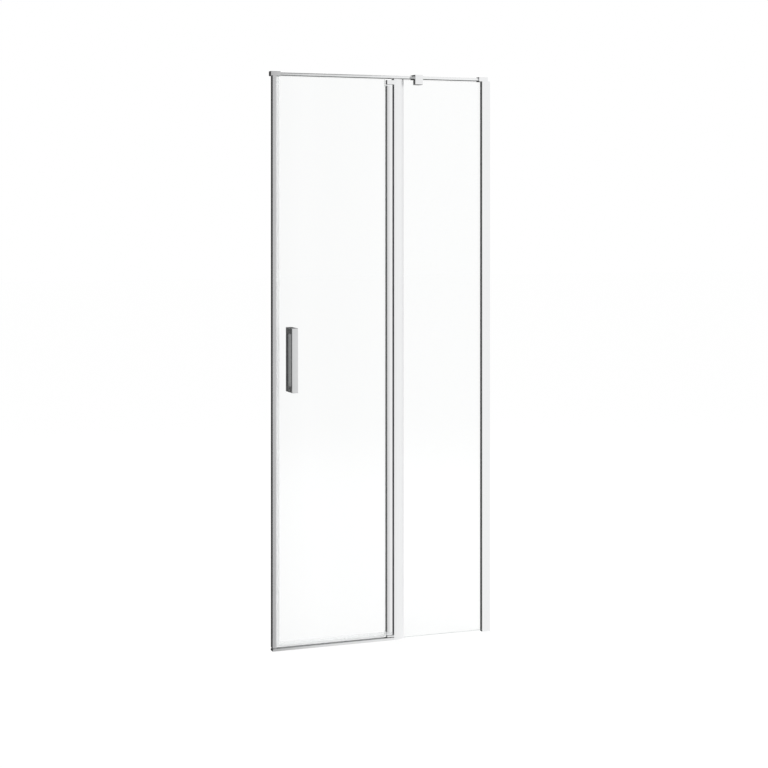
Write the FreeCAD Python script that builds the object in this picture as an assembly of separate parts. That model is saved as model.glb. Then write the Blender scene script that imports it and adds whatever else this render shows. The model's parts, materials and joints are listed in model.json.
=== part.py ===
import FreeCAD, Part
import math
import os

# Shower door for a niche. A glass leaf on the left turns on two pins beside a fixed post.
# A fixed glass panel stands between that post and a profile on the right wall.
# Lengths are millimetres. X runs from the left wall to the right wall, Y from the room into
# the shower and Z up from the tray. The origin lies on the tray, in the middle of the niche
# and in the middle of the glass.

# Whole door
niche_width = 800.0
door_height = 1950.0

# Glass and the slots that hold it
glass_thickness = 6.0
strip_thickness = 1.0
edge_room = 1.0
profile_reach = 17.5
lip_thickness = 1.8
rear_lip_setback = 4.0

# Fits and cuts
slide_gap = 0.3
seat_gap = 0.05
screw_room = 0.1
overrun = 5.0
near = 0.001

# End caps of the upright profiles
cap_thickness = 2.0
plug_length = 12.0

# Rail along the top, its end blocks and its clamp
rail_height = 11.0
rail_depth = 15.0
rail_wall = 1.5
rail_corner = 3.2
rail_floor = 2.0
end_block_width = 33.5
end_block_depth = 25.0
end_block_height = 16.0
end_block_corner = 1.2
anchor_floor = 8.0
anchor_hole_radius = 2.6
rear_wall = 3.5
grub_radius = 2.0
clamp_width = 29.0
clamp_from_left_wall = 515.3
jaw_drop = 16.4
jaw_corner = 1.0
jaw_lower_corner = 2.2
clamp_plate_thickness = 4.0
clamp_plate_margin = 3.0
clamp_screw_radius = 2.5
clamp_head_radius = 4.0
clamp_head_height = 2.8
clamp_screw_bite = 9.0
clamp_glass_hole_radius = 4.0

# Strike profile on the left wall
strike_width = 12.0
strike_floor_gap = 1.8
strike_skin = 1.5
magnet_width = 8.0
magnet_depth = 2.6
magnet_edge = 1.2
strike_channel_wall = 1.5

# Wall profile on the right wall
wall_profile_width = 31.4
wall_profile_skin = 1.6
wall_channel_depth = 14.0
wall_channel_wall = 1.8
wall_standoff = 0.6
profile_corner = 0.8

# Screws of both wall assemblies
wall_hole_radius = 2.6
wall_hole_shares = (0.05, 0.35, 0.65, 0.95)
lock_screw_shares = (0.12, 0.50, 0.88)
lock_screw_radius = 1.75
lock_head_radius = 3.2
lock_head_height = 2.0
lock_screw_tip = 1.5

# Pivot line and the leaf profile around it
pivot_from_left_wall = 421.1
leaf_profile_width = 20.4
leaf_skin = 2.0
leaf_web = 1.4
leaf_profile_corner = 1.6
leaf_profile_crown = 0.2
leaf_slot_depth = 13.7
bottom_cap_height = 10.8
top_cap_height = 4.3
cap_plug_length = 14.0
glass_notch_room = 1.3
notch_height_room = 0.5
leaf_top_gap = 1.5

# Pivot pins, bushes and blocks
pin_radius = 3.5
pin_running_gap = 0.05
bush_wall = 1.1
bush_flange_radius = 5.4
bush_flange_thickness = 2.2
bush_stand = 1.1
thrust_gap = 0.3
pin_end_room = 1.0
bottom_block_lift = 2.7
bottom_block_height = 5.0
top_block_height = 14.7
top_block_drop = 5.0
block_corner = 1.0
block_screw_radius = 1.5
block_screw_bite = 9.0
block_head_share = 0.19
block_head_height = 1.8

# Fixed post
hinge_gap = 5.8
post_width = 41.0
post_skin = 2.0
post_front_skin = 1.6
post_web = 1.4
post_slot_depth = 15.0
post_lip_reach = 18.0
post_bulge = 2.2
post_setback = 0.3
post_tip = 0.8

# Seals
magnet_gap = 0.8
magnet_pocket_depth = 5.6
seal_skin = 0.7
seal_neck_wall = 1.0
clip_wall = 1.3
clip_reach = 6.0
clip_base = 2.0
leaf_glass_from_strike = 13.0
drip_clip_reach = 12.0
drip_base = 1.5
drip_fin = 1.0
drip_fin_spacing = 3.4
drip_fin_drop = 3.5
drip_nose_reach = 6.0
drip_nose_drop = 3.8
drip_nose_thickness = 1.2
drip_end_room = 2.0
sweep_gap = 0.4
gap_seal_width = 6.0
gap_seal_inset = 0.8
gap_seal_corner = 1.5

# Threshold
threshold_height = 8.6
threshold_nose = 8.0
threshold_crown = 0.6
threshold_tail = 5.0
threshold_tail_height = 3.6
threshold_wall = 1.2
threshold_end_length = 43.1

# Setting blocks under the fixed glass
setting_block_length = 60.0
setting_block_height = 2.0
setting_block_shares = (0.2, 0.8)

# Handles
handle_height = 218.0
handle_width = 21.5
handle_reach = 33.0
handle_bar = 10.5
handle_leg = 21.0
handle_centre_height = 975.0
handle_from_left_wall = 73.7
handle_corner = 0.9
handle_gasket = 1.0
handle_gasket_margin = 0.5
stud_radius = 3.0
stud_bite = 12.0
sleeve_wall = 2.6
sleeve_gap = 0.2
handle_grub_radius = 2.0

# Levels across the door, from the room into the shower
glass_front = -glass_thickness / 2
glass_back = glass_thickness / 2
slot_front = glass_front - strip_thickness
slot_back = glass_back + strip_thickness
front = glass_front - profile_reach
back = slot_back + lip_thickness

# Levels along the door, from the left wall to the right wall
left_wall = -niche_width / 2
right_wall = niche_width / 2
strike_right = left_wall + strike_width
leaf_glass_left = strike_right + leaf_glass_from_strike
pivot_x = left_wall + pivot_from_left_wall
leaf_profile_left = pivot_x - leaf_profile_width / 2
leaf_profile_right = pivot_x + leaf_profile_width / 2
leaf_glass_right = leaf_profile_left + leaf_slot_depth - edge_room
leaf_notch_left = leaf_profile_left - glass_notch_room
post_left = leaf_profile_right + hinge_gap
post_right = post_left + post_width
post_slot_floor = post_left + post_slot_depth
post_lip_right = post_slot_floor + post_lip_reach
fixed_glass_left = post_slot_floor + edge_room
wall_profile_left = right_wall - wall_profile_width
wall_divider_right = right_wall - wall_channel_depth - edge_room
wall_divider_left = wall_divider_right - wall_profile_skin
fixed_glass_right = wall_divider_left - edge_room
handle_x = left_wall + handle_from_left_wall
clamp_left = left_wall + clamp_from_left_wall
clamp_right = clamp_left + clamp_width
clamp_x = (clamp_left + clamp_right) / 2

# Levels up the door
frame_top = door_height - end_block_height
profile_top = frame_top - cap_thickness
rail_bottom = frame_top + rail_floor
rail_top = rail_bottom + rail_height
leaf_top = frame_top - leaf_top_gap
seal_bottom = threshold_height + sweep_gap
bottom_block_bottom = threshold_height + bottom_block_lift
bottom_block_top = bottom_block_bottom + bottom_block_height
bottom_cap_bottom = bottom_block_top + thrust_gap + bush_stand
leaf_profile_bottom = bottom_cap_bottom + bottom_cap_height
top_block_top = frame_top - top_block_drop
top_block_bottom = top_block_top - top_block_height
top_cap_top = top_block_bottom - thrust_gap - bush_stand
leaf_profile_top = top_cap_top - top_cap_height
leaf_bottom = seal_bottom + drip_fin_drop + drip_base

# Depth of the pivot line, in the middle of the leaf profile's chamber
chamber_front = front + leaf_skin
chamber_back = slot_front - leaf_web
chamber_depth = chamber_back - chamber_front
pivot_y = (chamber_front + chamber_back) / 2

# Depth of the rail behind the profiles
rail_front = back
rail_back = rail_front + rail_depth
rail_y = (rail_front + rail_back) / 2
rail_z = (rail_bottom + rail_top) / 2
block_back = rail_back + rear_wall
block_front = block_back - end_block_depth
clamp_screw_z = profile_top - jaw_drop / 2

# Ends of the flat arc that is the post's front, in X and Y
arc_start = (post_left, front + post_setback)
arc_end = (post_right, slot_front - post_tip)

ALONG_X = FreeCAD.Vector(1, 0, 0)
ALONG_Y = FreeCAD.Vector(0, 1, 0)
ALONG_Z = FreeCAD.Vector(0, 0, 1)


# Building blocks

def box(xs, ys, zs):
    """A box between two values on each axis."""
    corner = FreeCAD.Vector(xs[0], ys[0], zs[0])
    return Part.makeBox(xs[1] - xs[0], ys[1] - ys[0], zs[1] - zs[0], corner)


def rod(radius, start, direction, length):
    """A round bar from a start point along a direction."""
    return Part.makeCylinder(radius, length, FreeCAD.Vector(*start), direction)


def rounded(shape, radius, direction, keep=lambda point: True):
    """Rounds the straight edges along a direction whose middle passes keep."""
    edges = []
    for edge in shape.Edges:
        run = edge.Vertexes[-1].Point - edge.Vertexes[0].Point
        aligned = run.Length > near and abs(abs(run.dot(direction)) - run.Length) < near
        if aligned and keep(edge.CenterOfMass):
            edges.append(edge)
    return shape.makeFillet(radius, edges)


def joined(first, *others):
    """One solid from pieces that touch or overlap."""
    return first.fuse(list(others)).removeSplitter()


def prism_along(points, x_low, x_high):
    """A prism along X over a straight-sided outline of Y and Z points."""
    corners = [FreeCAD.Vector(x_low, y, z) for y, z in points]
    face = Part.Face(Part.makePolygon(corners + corners[:1]))
    return face.extrude(ALONG_X * (x_high - x_low))


def rear_notch(left):
    """What is cut from a profile's outline, so that its rear lip stops short of its front one."""
    return box((left - overrun, left + rear_lip_setback), (slot_front, back + overrun),
               (-overrun, door_height + overrun))


def arched_prism(start, middle, end, others, z_low, z_high):
    """An upright prism whose first side is an arc through three places and whose others are straight."""
    points = [FreeCAD.Vector(x, y, z_low) for x, y in (start, end) + tuple(others)]
    edges = [Part.Arc(points[0], FreeCAD.Vector(*middle, z_low), points[1]).toShape()]
    for here, there in zip(points[1:], points[2:] + points[:1]):
        edges.append(Part.LineSegment(here, there).toShape())
    return Part.Face(Part.Wire(edges)).extrude(ALONG_Z * (z_high - z_low))


def group(solids):
    """Separate solids that share one node."""
    return Part.makeCompound(solids)


# Screws that lock a profile on its wall channel

def lock_screw(x, face_y, z, tip_y):
    """A pan head screw that enters a profile's rear wall from the shower side."""
    shank = rod(lock_screw_radius, (x, tip_y, z), ALONG_Y, face_y - tip_y)
    head = rod(lock_head_radius, (x, face_y, z), ALONG_Y, lock_head_height)
    top = face_y + lock_head_height
    rim = [edge for edge in head.Edges if abs(edge.CenterOfMass.y - top) < near]
    return joined(shank, head.makeFillet(lock_head_height / 2, rim))


def lock_heights():
    return [share * door_height for share in lock_screw_shares]


def wall_hole_heights():
    return [share * door_height for share in wall_hole_shares]


# Strike side: what is fixed to the left wall

def strike_assembly():
    chamber_right = strike_right - magnet_depth - strike_skin
    inner_front = front + strike_skin
    inner_back = glass_back - strike_skin
    magnet_back = glass_back - magnet_edge
    magnet_front = magnet_back - magnet_width
    bottom = threshold_height + strike_floor_gap

    profile = box((left_wall + slide_gap, strike_right), (front, glass_back), (bottom, profile_top))
    profile = rounded(profile, profile_corner, ALONG_Z, lambda p: p.y < glass_front)
    chamber = box((left_wall, chamber_right), (inner_front, inner_back), (bottom - overrun, door_height))
    groove = box((strike_right - magnet_depth, strike_right + overrun),
                 (magnet_front, magnet_back), (bottom - overrun, door_height))
    profile = profile.cut([chamber, groove])

    channel_right = chamber_right - slide_gap
    channel_ys = (inner_front + slide_gap, inner_back - slide_gap)
    channel = box((left_wall, channel_right), channel_ys, (bottom, profile_top))
    hollow = box((left_wall + strike_channel_wall, channel_right + overrun),
                 (channel_ys[0] + strike_channel_wall, channel_ys[1] - strike_channel_wall),
                 (bottom - overrun, door_height))
    channel = channel.cut(hollow)
    channel_y = (channel_ys[0] + channel_ys[1]) / 2
    for z in wall_hole_heights():
        hole = rod(wall_hole_radius, (left_wall - overrun, channel_y, z), ALONG_X, 2 * overrun)
        channel = channel.cut(hole)

    screw_x = (left_wall + strike_channel_wall + channel_right) / 2
    tip_y = channel_ys[1] - strike_channel_wall - lock_screw_tip
    screws = []
    for z in lock_heights():
        screws.append(lock_screw(screw_x, glass_back, z, tip_y))
        hole = rod(lock_screw_radius + screw_room, (screw_x, tip_y, z), ALONG_Y,
                   glass_back - tip_y + overrun)
        profile = profile.cut(hole)
        channel = channel.cut(hole)

    magnet = box((strike_right - magnet_depth, strike_right), (magnet_front, magnet_back),
                 (bottom, profile_top))

    plate = box((left_wall + slide_gap, strike_right), (front, glass_back), (profile_top, frame_top))
    plate = rounded(plate, profile_corner, ALONG_Z, lambda p: p.y < glass_front)
    plug = box((left_wall + strike_channel_wall + slide_gap, channel_right),
               (channel_ys[0] + strike_channel_wall + slide_gap,
                channel_ys[1] - strike_channel_wall - slide_gap),
               (profile_top - plug_length, profile_top))
    return {
        "wall_channel_left": channel,
        "strike_profile": profile,
        "strike_magnet_strip": magnet,
        "strike_profile_cap": joined(plate, plug),
        "strike_screws": group(screws),
    }


# Wall side: what is fixed to the right wall

def wall_profile_outline(z_low, z_high):
    shape = box((wall_profile_left, right_wall - wall_standoff), (front, back), (z_low, z_high))
    shape = rounded(shape, profile_corner, ALONG_Z, lambda p: p.y < glass_front)
    return shape.cut(rear_notch(wall_profile_left))


def wall_assembly():
    inner_front = front + wall_profile_skin
    inner_back = back - lip_thickness
    profile = wall_profile_outline(0, profile_top)
    full = (-overrun, door_height)
    sleeve = box((wall_divider_right, right_wall), (inner_front, inner_back), full)
    slot = box((wall_profile_left - overrun, wall_divider_left), (slot_front, slot_back), full)
    hollow_xs = (wall_profile_left + wall_profile_skin, wall_divider_left)
    hollow_ys = (inner_front, slot_front - wall_profile_skin)
    hollow = box(hollow_xs, hollow_ys, full)
    profile = profile.cut([sleeve, slot, hollow])

    channel_left = right_wall - wall_channel_depth
    channel_ys = (inner_front + slide_gap, inner_back - slide_gap)
    channel = box((channel_left, right_wall), channel_ys, (0, profile_top))
    inside = box((channel_left - overrun, right_wall - wall_channel_wall),
                 (channel_ys[0] + wall_channel_wall, channel_ys[1] - wall_channel_wall), full)
    channel = channel.cut(inside)
    channel_y = (channel_ys[0] + channel_ys[1]) / 2
    for z in wall_hole_heights():
        hole = rod(wall_hole_radius, (right_wall - overrun, channel_y, z), ALONG_X, 2 * overrun)
        channel = channel.cut(hole)

    screw_x = (channel_left + right_wall - wall_channel_wall) / 2
    tip_y = channel_ys[1] - wall_channel_wall - lock_screw_tip
    screws = []
    for z in lock_heights():
        screws.append(lock_screw(screw_x, back, z, tip_y))
        hole = rod(lock_screw_radius + screw_room, (screw_x, tip_y, z), ALONG_Y,
                   back - tip_y + overrun)
        profile = profile.cut(hole)
        channel = channel.cut(hole)

    strips = [
        box((wall_profile_left, wall_divider_left), (slot_front, glass_front), (0, profile_top)),
        box((wall_profile_left + rear_lip_setback, wall_divider_left), (glass_back, slot_back),
            (0, profile_top)),
    ]
    plug = box((hollow_xs[0] + slide_gap, hollow_xs[1] - slide_gap),
               (hollow_ys[0] + slide_gap, hollow_ys[1] - slide_gap),
               (profile_top - plug_length, profile_top))
    return {
        "wall_channel_right": channel,
        "wall_profile": profile,
        "wall_profile_cap": joined(wall_profile_outline(profile_top, frame_top), plug),
        "wall_profile_screws": group(screws),
        "wall_glazing_strips": group(strips),
    }


# Fixed glass and what carries it

def fixed_glass_assembly():
    glass = box((fixed_glass_left, fixed_glass_right), (glass_front, glass_back),
                (setting_block_height, profile_top))
    hole = rod(clamp_glass_hole_radius, (clamp_x, glass_front - overrun, clamp_screw_z), ALONG_Y,
               glass_thickness + 2 * overrun)
    blocks = []
    for share in setting_block_shares:
        middle = fixed_glass_left + share * (fixed_glass_right - fixed_glass_left)
        blocks.append(box((middle - setting_block_length / 2, middle + setting_block_length / 2),
                          (glass_front, glass_back), (0, setting_block_height)))
    return {"fixed_glass": glass.cut(hole), "setting_blocks": group(blocks)}


# Fixed post: its front is one flat arc that falls from beside the leaf to the glass

def post_arc():
    """Centre and radius of the arc through both ends with the given bulge."""
    chord = math.hypot(arc_end[0] - arc_start[0], arc_end[1] - arc_start[1])
    radius = (chord ** 2 / 4 + post_bulge ** 2) / (2 * post_bulge)
    middle = ((arc_start[0] + arc_end[0]) / 2, (arc_start[1] + arc_end[1]) / 2)
    normal = ((arc_start[1] - arc_end[1]) / chord, (arc_end[0] - arc_start[0]) / chord)
    reach = radius - post_bulge
    return (middle[0] + normal[0] * reach, middle[1] + normal[1] * reach), radius


def arc_y(x, inset):
    """Depth of the post's front at a place along X, or of its inner face at an inset."""
    centre, radius = post_arc()
    return centre[1] - math.sqrt((radius - inset) ** 2 - (x - centre[0]) ** 2)


def post_prism(start, end, inset, others, z_low, z_high):
    """An upright prism whose first side follows the post's front, or its inner face at an inset."""
    middle_x = (start[0] + end[0]) / 2
    return arched_prism(start, (middle_x, arc_y(middle_x, inset)), end, others, z_low, z_high)


def post_outline(z_low, z_high):
    """The post's outer shape, closed across the glass slot."""
    others = ((post_right, slot_back), (post_lip_right, back), (post_left, back))
    return post_prism(arc_start, arc_end, 0, others, z_low, z_high)


def post_chamber(z_low, z_high):
    left = post_left + post_skin
    right = post_lip_right
    chamber_floor = slot_front - post_web
    start = (left, arc_y(left, post_front_skin))
    end = (right, arc_y(right, post_front_skin))
    others = ((right, chamber_floor), (left, chamber_floor))
    return post_prism(start, end, post_front_skin, others, z_low, z_high)


def block_screw_ys():
    return pivot_y - chamber_depth / 4, pivot_y + chamber_depth / 4


def block_middles():
    return (bottom_block_bottom + bottom_block_top) / 2, (top_block_bottom + top_block_top) / 2


def block_screw_cuts(radius, x_low, x_high):
    """Round cuts along X on the lines of the pivot block screws."""
    cuts = []
    for z in block_middles():
        for y in block_screw_ys():
            cuts.append(rod(radius, (x_low, y, z), ALONG_X, x_high - x_low))
    return cuts


def post_assembly():
    low = cap_thickness
    post = post_outline(low, profile_top)
    full = (-overrun, door_height)
    slot = box((post_slot_floor, post_right + overrun), (slot_front, slot_back), full)
    trim = box((post_lip_right, post_right + overrun), (slot_front, back + overrun), full)
    rear_hollow = box((post_left + post_skin, post_slot_floor - post_skin),
                      (slot_front, slot_back), full)
    post = post.cut([slot, trim, rear_hollow, post_chamber(*full)])
    post = post.cut(block_screw_cuts(block_screw_radius + screw_room, post_left - overrun,
                                     post_left + post_skin + near))

    plug_right = (post_left + post_slot_floor) / 2 + post_skin
    plug_ys = (arc_y(plug_right, post_front_skin) + slide_gap, slot_front - post_web - slide_gap)
    plug_xs = (post_left + post_skin + slide_gap, plug_right)
    top_plug = box(plug_xs, plug_ys, (profile_top - cap_thickness, profile_top))
    bottom_plug = box(plug_xs, plug_ys, (low, low + cap_thickness))
    top_cap = joined(post_outline(profile_top, frame_top), top_plug)
    bottom_cap = joined(post_outline(0, low), bottom_plug)
    glass_room = box((fixed_glass_left - edge_room, post_right + overrun),
                     (slot_front, slot_back), (-overrun, low + near))
    bottom_cap = bottom_cap.cut(glass_room)

    strips = [
        box((post_slot_floor, post_right), (slot_front, glass_front), (low, profile_top)),
        box((post_slot_floor, post_lip_right), (glass_back, slot_back), (low, profile_top)),
    ]
    seal_ys = (back - gap_seal_inset - gap_seal_width, back - gap_seal_inset)
    seal = box((leaf_profile_right + slide_gap, post_left), seal_ys,
               (bottom_cap_bottom, top_cap_top))
    seal = rounded(seal, gap_seal_corner, ALONG_Z, lambda p: p.x < post_left - near)
    return {
        "hinge_post": post,
        "post_top_cap": top_cap,
        "post_bottom_cap": bottom_cap,
        "post_glazing_strips": group(strips),
        "hinge_gap_seal": seal,
    }


# Pivots: the blocks and pins stand still, the bushes turn with the leaf

def pivot_block(z_low, z_high, bore_low, bore_high):
    shape = box((leaf_profile_left, post_left), (front, chamber_back), (z_low, z_high))
    shape = rounded(shape, block_corner, ALONG_Z, lambda p: p.x < pivot_x)
    bore = rod(pin_radius + seat_gap, (pivot_x, pivot_y, bore_low), ALONG_Z, bore_high - bore_low)
    cuts = block_screw_cuts(block_screw_radius + seat_gap, post_left - block_screw_bite, post_left)
    return shape.cut([bore] + cuts)


def pivot_pin(z_low, z_high):
    return rod(pin_radius, (pivot_x, pivot_y, z_low), ALONG_Z, z_high - z_low)


def pivot_bush(face_z, inward):
    """A flanged bush whose flange stands proud of a cap's face. Inward is 1 for up, -1 for down."""
    outer = pin_radius + pin_running_gap + bush_wall
    start = face_z - inward * bush_stand
    direction = ALONG_Z * inward
    flange = rod(bush_flange_radius, (pivot_x, pivot_y, start), direction, bush_flange_thickness)
    sleeve = rod(outer, (pivot_x, pivot_y, start), direction, bush_stand + bush_length(inward))
    bore = rod(pin_radius + pin_running_gap, (pivot_x, pivot_y, start - inward * overrun),
               direction, bush_length(inward) + 2 * overrun + bush_stand)
    return joined(flange, sleeve).cut(bore)


def bush_length(inward):
    """How far a bush reaches into the leaf from its cap's face."""
    plate = bottom_cap_height if inward > 0 else top_cap_height
    return plate + cap_plug_length - pin_end_room


def leaf_cap(face_z, plate_height, inward):
    """An end cap of the leaf profile: a plate, a plug in the chamber and a seat for the bush."""
    plate_end = face_z + inward * plate_height
    plug_end = plate_end + inward * cap_plug_length
    plug_inset = leaf_skin + slide_gap / 2
    plate = leaf_profile_outline(*sorted((face_z, plate_end)))
    plug = box((leaf_profile_left + plug_inset, leaf_profile_right - plug_inset),
               (chamber_front + slide_gap / 2, chamber_back - slide_gap / 2),
               sorted((plate_end, plug_end)))
    direction = ALONG_Z * inward
    outer = pin_radius + pin_running_gap + bush_wall + seat_gap
    bore = rod(outer, (pivot_x, pivot_y, face_z - inward * overrun), direction,
               plate_height + cap_plug_length + 2 * overrun)
    recess = rod(bush_flange_radius + seat_gap, (pivot_x, pivot_y, face_z - inward * overrun),
                 direction, overrun + bush_flange_thickness - bush_stand)
    return joined(plate, plug).cut([bore, recess])


def pivot_assembly():
    bottom_pin_low = bottom_block_bottom + pin_end_room
    bottom_pin_high = bottom_cap_bottom + bush_length(1) - pin_end_room
    top_pin_low = top_cap_top - bush_length(-1) + pin_end_room
    top_pin_high = top_block_top - pin_end_room

    head_radius = block_head_share * chamber_depth
    screws = []
    head_xs = (post_left + post_skin, post_left + post_skin + block_head_height)
    shank_low = post_left - block_screw_bite + pin_end_room
    for z in block_middles():
        for y in block_screw_ys():
            shank = rod(block_screw_radius, (shank_low, y, z), ALONG_X, head_xs[0] - shank_low)
            head = rod(head_radius, (head_xs[0], y, z), ALONG_X, block_head_height)
            screws.append(joined(shank, head))
    return {
        "bottom_pivot_block": pivot_block(bottom_block_bottom, bottom_block_top,
                                          bottom_pin_low, bottom_block_top + overrun),
        "top_pivot_block": pivot_block(top_block_bottom, top_block_top,
                                       top_block_bottom - overrun, top_pin_high),
        "bottom_pivot_pin": pivot_pin(bottom_pin_low, bottom_pin_high),
        "top_pivot_pin": pivot_pin(top_pin_low, top_pin_high),
        "pivot_block_screws": group(screws),
        "bottom_pivot_bush": pivot_bush(bottom_cap_bottom, 1),
        "top_pivot_bush": pivot_bush(top_cap_top, -1),
        "leaf_profile_bottom_cap": leaf_cap(bottom_cap_bottom, bottom_cap_height, 1),
        "leaf_profile_top_cap": leaf_cap(top_cap_top, top_cap_height, -1),
    }


# Leaf profile, leaf glass and the seals on it

def leaf_profile_outline(z_low, z_high):
    """The leaf profile's outer shape, whose front is faintly crowned."""
    shoulder = front + leaf_profile_crown
    others = ((leaf_profile_right, back), (leaf_profile_left, back))
    shape = arched_prism((leaf_profile_left, shoulder), (pivot_x, front), (leaf_profile_right, shoulder),
                         others, z_low, z_high)
    shape = rounded(shape, leaf_profile_corner, ALONG_Z, lambda p: p.x > pivot_x or p.y < glass_front)
    return shape.cut(rear_notch(leaf_profile_left))


def leaf_profile():
    profile = leaf_profile_outline(leaf_profile_bottom, leaf_profile_top)
    full = (-overrun, door_height)
    slot_floor = leaf_profile_left + leaf_slot_depth
    chamber = box((leaf_profile_left + leaf_skin, leaf_profile_right - leaf_skin),
                  (chamber_front, chamber_back), full)
    slot = box((leaf_profile_left - overrun, slot_floor), (slot_front, slot_back), full)
    hollow = box((slot_floor + leaf_skin, leaf_profile_right - leaf_skin), (slot_front, slot_back), full)
    return profile.cut([chamber, slot, hollow])


def leaf_glazing_strips():
    slot_floor = leaf_profile_left + leaf_slot_depth
    zs = (leaf_profile_bottom, leaf_profile_top)
    return group([
        box((leaf_profile_left, slot_floor), (slot_front, glass_front), zs),
        box((leaf_profile_left + rear_lip_setback, slot_floor), (glass_back, slot_back), zs),
    ])


def handle_leg_heights():
    reach = (handle_height - handle_leg) / 2
    return handle_centre_height - reach, handle_centre_height + reach


def leaf_glass():
    ys = (glass_front, glass_back)
    glass = box((leaf_glass_left, leaf_glass_right), ys, (leaf_bottom, leaf_top))
    notch_xs = (leaf_notch_left, leaf_glass_right + overrun)
    notch_ys = (glass_front - overrun, glass_back + overrun)
    low_notch = box(notch_xs, notch_ys, (leaf_bottom - overrun, leaf_profile_bottom + notch_height_room))
    high_notch = box(notch_xs, notch_ys, (leaf_profile_top - notch_height_room, leaf_top + overrun))
    glass = glass.cut([low_notch, high_notch])
    hole_radius = stud_radius + sleeve_wall + 2 * sleeve_gap
    for z in handle_leg_heights():
        hole = rod(hole_radius, (handle_x, glass_front - overrun, z), ALONG_Y,
                   glass_thickness + 2 * overrun)
        glass = glass.cut(hole)
    return glass


def magnet_seal_assembly():
    magnet_back = glass_back - magnet_edge
    magnet_front = magnet_back - magnet_width
    zs = (seal_bottom, leaf_top)
    full = (-overrun, door_height)
    face_x = strike_right + magnet_gap
    pocket_right = face_x + magnet_pocket_depth
    pocket = box((face_x, pocket_right), (magnet_front - seal_skin, magnet_back + seal_skin), zs)
    base_left = leaf_glass_left - clip_base
    neck_ys = (glass_front, magnet_back + seal_skin)
    neck = box((pocket_right, base_left), neck_ys, zs)
    neck_hollow = box((pocket_right, base_left),
                      (neck_ys[0] + seal_neck_wall, neck_ys[1] - seal_neck_wall), full)
    clip = box((base_left, leaf_glass_left + clip_reach),
               (glass_front - clip_wall, glass_back + clip_wall), zs)
    glass_room = box((leaf_glass_left, leaf_glass_left + clip_reach + overrun),
                     (glass_front, glass_back), full)
    magnet_xs = (face_x + seal_skin, pocket_right - seal_skin)
    magnet_ys = (magnet_front, magnet_back)
    seal = joined(pocket, neck, clip)
    seal = seal.cut([neck_hollow, glass_room, box(magnet_xs, magnet_ys, full)])
    return {"leaf_magnet_seal": seal, "leaf_magnet_strip": box(magnet_xs, magnet_ys, zs)}


def drip_seal():
    xs = (leaf_glass_left + clip_reach + slide_gap, leaf_notch_left - drip_end_room)
    outer = (glass_front - clip_wall, glass_back + clip_wall)
    base_low = leaf_bottom - drip_base
    clip = box(xs, outer, (base_low, leaf_bottom + drip_clip_reach))
    glass_room = box((xs[0] - overrun, xs[1] + overrun), (glass_front, glass_back),
                     (leaf_bottom, door_height))
    fins = []
    for side in (-1, 0, 1):
        middle = side * drip_fin_spacing
        fins.append(box(xs, (middle - drip_fin / 2, middle + drip_fin / 2), (seal_bottom, base_low)))
    nose = prism_along([
        (outer[0], leaf_bottom),
        (outer[0], leaf_bottom - drip_nose_thickness),
        (outer[0] - drip_nose_reach, leaf_bottom - drip_nose_drop - drip_nose_thickness),
        (outer[0] - drip_nose_reach, leaf_bottom - drip_nose_drop),
    ], *xs)
    return joined(clip.cut(glass_room), nose, *fins)


# Threshold under the leaf

def threshold_section(inset):
    """Outline of the threshold in Y and Z, or of its hollow at an inset."""
    nose = front + inset
    tail = glass_back - inset
    crown = threshold_height - inset
    return [
        (nose, inset),
        (nose, threshold_nose - inset),
        (nose + threshold_crown, crown),
        (glass_back - threshold_tail, crown),
        (tail, threshold_tail_height - inset / 2),
        (tail, inset),
    ]


def threshold_assembly():
    end_left = post_left - threshold_end_length
    bar = prism_along(threshold_section(0), left_wall, end_left)
    hollow = prism_along(threshold_section(threshold_wall), left_wall - overrun, end_left + overrun)
    end_block = prism_along(threshold_section(0), end_left, post_left)
    return {"threshold_bar": bar.cut(hollow), "threshold_end_block": end_block}


# Rail, its end blocks and its clamp

def rail_bar(x_low, x_high, grow):
    """The rail's outer shape, grown on all sides for the holes that it passes through."""
    shape = box((x_low, x_high), (rail_front - grow, rail_back + grow),
                (rail_bottom - grow, rail_top + grow))
    return rounded(shape, rail_corner, ALONG_X)


def end_block(wall_x, inward):
    """A block on a wall with a socket for the rail. Inward is 1 on the left wall, -1 on the right."""
    inner_x = wall_x + inward * end_block_width
    socket_x = wall_x + inward * anchor_floor
    shape = box(sorted((wall_x, inner_x)), (block_front, block_back), (frame_top, door_height))
    shape = rounded(shape, end_block_corner, ALONG_X)
    socket = rail_bar(*sorted((socket_x, inner_x + inward * overrun)), slide_gap / 2)
    anchor = rod(anchor_hole_radius, (wall_x - inward * overrun, rail_y, rail_z), ALONG_X * inward,
                 anchor_floor + 2 * overrun)
    return shape.cut([socket, anchor, grub_hole(end_grub_x(wall_x, inward))])


def end_grub_x(wall_x, inward):
    return wall_x + inward * (anchor_floor + end_block_width) / 2


def grub_hole(x):
    start = rail_back - rail_wall / 2
    return rod(grub_radius + seat_gap, (x, start, rail_z), ALONG_Y, block_back - start + overrun)


def grub_screw(x):
    start = rail_back + near
    return rod(grub_radius, (x, start, rail_z), ALONG_Y, block_back - start)


def rail_assembly():
    rail_xs = (left_wall + anchor_floor + edge_room, right_wall - anchor_floor - edge_room)
    bore = box((left_wall, right_wall), (rail_front + rail_wall, rail_back - rail_wall),
               (rail_bottom + rail_wall, rail_top - rail_wall))
    bore = rounded(bore, rail_corner - rail_wall, ALONG_X)
    grub_xs = (end_grub_x(left_wall, 1), clamp_x, end_grub_x(right_wall, -1))
    return {
        "rail": rail_bar(*rail_xs, 0).cut(bore),
        "rail_end_block_left": end_block(left_wall, 1),
        "rail_end_block_right": end_block(right_wall, -1),
        "rail_grub_screws": group([grub_screw(x) for x in grub_xs]),
    }


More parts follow.
